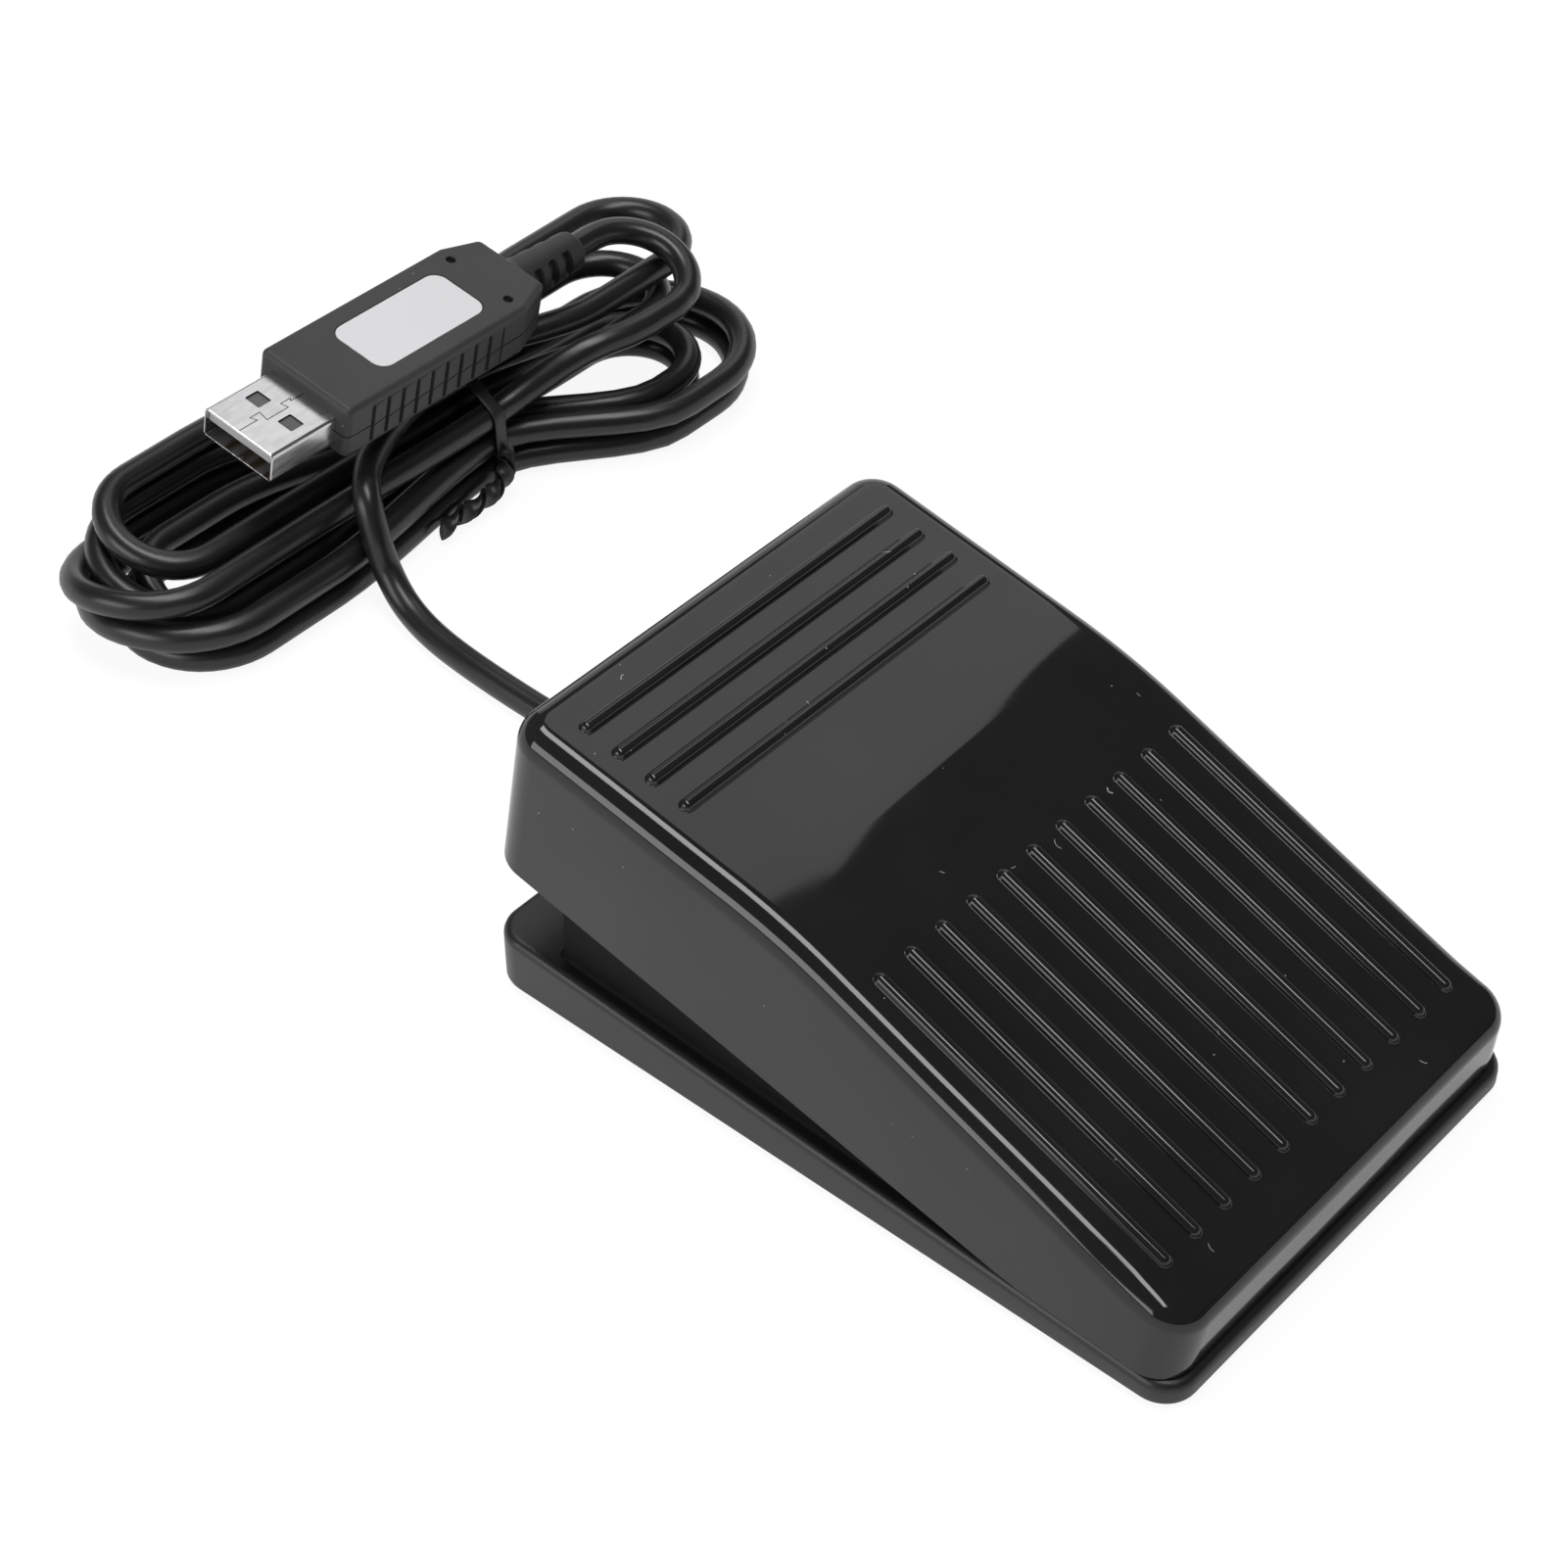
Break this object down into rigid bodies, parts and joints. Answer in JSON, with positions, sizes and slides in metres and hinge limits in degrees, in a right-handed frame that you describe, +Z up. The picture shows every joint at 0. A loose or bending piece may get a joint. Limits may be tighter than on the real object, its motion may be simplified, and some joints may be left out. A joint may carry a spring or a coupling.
{
  "type": "usb foot pedal switch",
  "caption": "Black foot pedal switch with a rocking ribbed pedal on a wedge base, a cord tied in a hank and a USB plug with its controller",
  "frame": {"origin": "on the floor under the middle of the base", "axes": "+Y from the heel to the toe, +X to the right seen from the heel, +Z up"},
  "size_m": [0.1148, 0.1882, 0.0409],
  "materials": {
    "base_plastic": "satin",
    "foot_rubber": "matte",
    "steel": "brushed",
    "cap_plastic": "gloss",
    "switch_plastic": "matte",
    "plunger_plastic": "matte",
    "terminal_metal": "plated",
    "wire_sheath": "satin",
    "cord_sheath": "satin",
    "tie_plastic": "satin",
    "plug_plastic": "fine texture",
    "plug_metal": "nickel plated",
    "tongue_plastic": "matte",
    "contact_gold": "plated",
    "board": "solder mask",
    "pipe_plastic": "gloss",
    "label_plate": "satin",
    "boot_rubber": "matte"
  },
  "bodies": {
    "base": {"base_tray": "base_plastic", "rubber_feet": "foot_rubber", "hinge_pins": "steel", "return_spring": "steel", "switch_case": "switch_plastic", "switch_terminals": "terminal_metal", "switch_screws": "steel", "switch_wires": "wire_sheath", "cable_clamp": "base_plastic", "clamp_screws": "steel", "cable_gland": "cord_sheath", "cable_lead": "cord_sheath", "cable_hank": "cord_sheath", "cable_tie": "tie_plastic", "plug_top_shell": "plug_plastic", "plug_bottom_shell": "plug_plastic", "usb_shell": "plug_metal", "usb_tongue": "tongue_plastic", "usb_contacts": "contact_gold", "plug_board": "board", "plug_chip": "switch_plastic", "light_pipes": "pipe_plastic", "plug_label": "label_plate", "plug_boot": "boot_rubber"},
    "pedal": {"pedal_cap": "cap_plastic"},
    "plunger": {"switch_plunger": "plunger_plastic"}
  },
  "joints": [
    {"name": "pedal_press", "type": "hinge", "parent": "base", "child": "pedal", "pos_m": [0, -0.0274, 0.0111], "axis": [-1, 0, 0], "range_deg": [0, 8], "stiffness_Nm_per_rad": 0.7, "springref_deg": -20.05, "deforming": ["return_spring"]},
    {"name": "plunger_slide", "type": "slide", "parent": "base", "child": "plunger", "axis": [0, 0, -1], "range_m": [0, 0.00123]}
  ],
  "couplings": [
    {"joint": "plunger_slide", "follows": "pedal_press", "m_per_rad": 0.0088}
  ]
}
